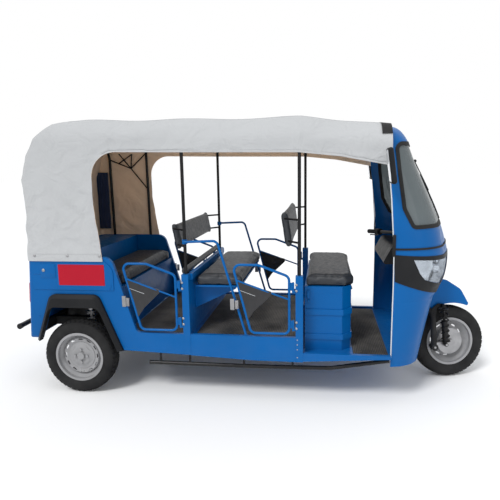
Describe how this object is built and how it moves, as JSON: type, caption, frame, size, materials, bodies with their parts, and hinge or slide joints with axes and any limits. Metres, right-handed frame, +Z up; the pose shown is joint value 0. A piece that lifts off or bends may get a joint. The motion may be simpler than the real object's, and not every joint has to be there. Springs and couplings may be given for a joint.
{
  "type": "auto rickshaw",
  "caption": "Long three-wheeled passenger auto rickshaw with a canvas canopy, open sides with low tube doors, two benches, a driver seat box and a steered front wheel.",
  "frame": {"origin": "on the ground under the middle of the vehicle's bounding box", "axes": "+X forward, +Y to the vehicle's left, +Z up"},
  "size_m": [3.4391, 1.424, 1.9459],
  "materials": {
    "black_canvas": "woven",
    "black_paint": "satin",
    "black_plastic": "matt",
    "blue_paint": "satin",
    "canvas": "woven",
    "cast_iron": "rough",
    "chrome": "polished",
    "clear_lens": "clear",
    "dark_frame": "matt",
    "glass": "tinted",
    "lamp_red": "gloss",
    "red_paint": "satin",
    "rubber": "matt",
    "seat_cover": "soft",
    "steel": "worn",
    "tyre": "matt",
    "wheel_paint": "satin"
  },
  "bodies": {
    "vehicle_body": {"quarter_panels": "blue_paint", "wheel_flares": "black_plastic", "side_plates": "red_paint", "tail_panel": "blue_paint", "tail_lamps": "lamp_red", "rear_deck": "blue_paint", "floor_pan": "blue_paint", "floor_mats": "rubber", "ladder_frame": "dark_frame", "sill_panels": "blue_paint", "door_posts": "blue_paint", "mid_bulkhead": "blue_paint", "grab_roll": "seat_cover", "bench_cushions": "seat_cover", "backrests": "seat_cover", "seat_box": "blue_paint", "canopy": "canvas", "roof_hoops": "black_paint", "front_cowl": "blue_paint", "cab_upper": "blue_paint", "windscreen_glass": "glass", "rubber_trims": "rubber", "headlamp_trims": "black_plastic", "headlamp_bowls": "chrome", "headlamp_lenses": "clear_lens", "dashboard": "black_plastic", "steering_head": "dark_frame", "mirrors": "black_plastic", "guard_tubes": "black_paint", "jamb_tubes": "blue_paint", "door_hinges": "blue_paint", "engine_block": "cast_iron", "rear_arms": "dark_frame", "rear_shocks": "steel"},
    "seat_cover": {"seat_lid": "blue_paint", "driver_cushion": "seat_cover"},
    "door_rear_right": {"door_rear_right": "blue_paint", "pouch_rear_right": "black_canvas"},
    "door_rear_left": {"door_rear_left": "blue_paint", "pouch_rear_left": "black_canvas"},
    "door_front_right": {"door_front_right": "blue_paint", "pouch_front_right": "black_canvas"},
    "door_front_left": {"door_front_left": "blue_paint", "pouch_front_left": "black_canvas"},
    "steering": {"fork": "dark_frame", "handlebar": "black_paint", "grips": "rubber", "front_link": "steel", "front_shock": "steel", "mudguard": "blue_paint"},
    "front_wheel": {"front_rim": "wheel_paint", "front_tyre": "tyre"},
    "rear_wheel_right": {"rear_rim_right": "wheel_paint", "rear_tyre_right": "tyre"},
    "rear_wheel_left": {"rear_rim_left": "wheel_paint", "rear_tyre_left": "tyre"}
  },
  "joints": [
    {"name": "steering", "type": "hinge", "parent": "vehicle_body", "child": "steering", "pos_m": [1.16098, 0, 0.84], "axis": [-0.3584, 0, 0.9336], "range_deg": [-55, 25]},
    {"name": "front_wheel_spin", "type": "hinge", "parent": "steering", "child": "front_wheel", "pos_m": [1.45895, 0.01935, 0.26523], "axis": [-0.2416, 0.9659, -0.0928], "continuous": true},
    {"name": "rear_wheel_right_spin", "type": "hinge", "parent": "vehicle_body", "child": "rear_wheel_right", "pos_m": [-1.17062, -0.555, 0.266], "axis": [0, 1, 0], "continuous": true},
    {"name": "rear_wheel_left_spin", "type": "hinge", "parent": "vehicle_body", "child": "rear_wheel_left", "pos_m": [-1.17062, 0.555, 0.266], "axis": [0, 1, 0], "continuous": true},
    {"name": "door_rear_right_hinge", "type": "hinge", "parent": "vehicle_body", "child": "door_rear_right", "pos_m": [-0.41962, -0.594, 0.68], "axis": [0, 0, 1], "range_deg": [0, 90]},
    {"name": "door_rear_left_hinge", "type": "hinge", "parent": "vehicle_body", "child": "door_rear_left", "pos_m": [-0.41962, 0.594, 0.68], "axis": [0, 0, -1], "range_deg": [0, 90]},
    {"name": "door_front_right_hinge", "type": "hinge", "parent": "vehicle_body", "child": "door_front_right", "pos_m": [0.34338, -0.594, 0.68], "axis": [0, 0, 1], "range_deg": [0, 90]},
    {"name": "door_front_left_hinge", "type": "hinge", "parent": "vehicle_body", "child": "door_front_left", "pos_m": [0.34338, 0.594, 0.68], "axis": [0, 0, -1], "range_deg": [0, 90]},
    {"name": "seat_lid_hinge", "type": "hinge", "parent": "vehicle_body", "child": "seat_cover", "pos_m": [0.73018, 0, 0.733], "axis": [0, 1, 0], "range_deg": [0, 60]}
  ]
}
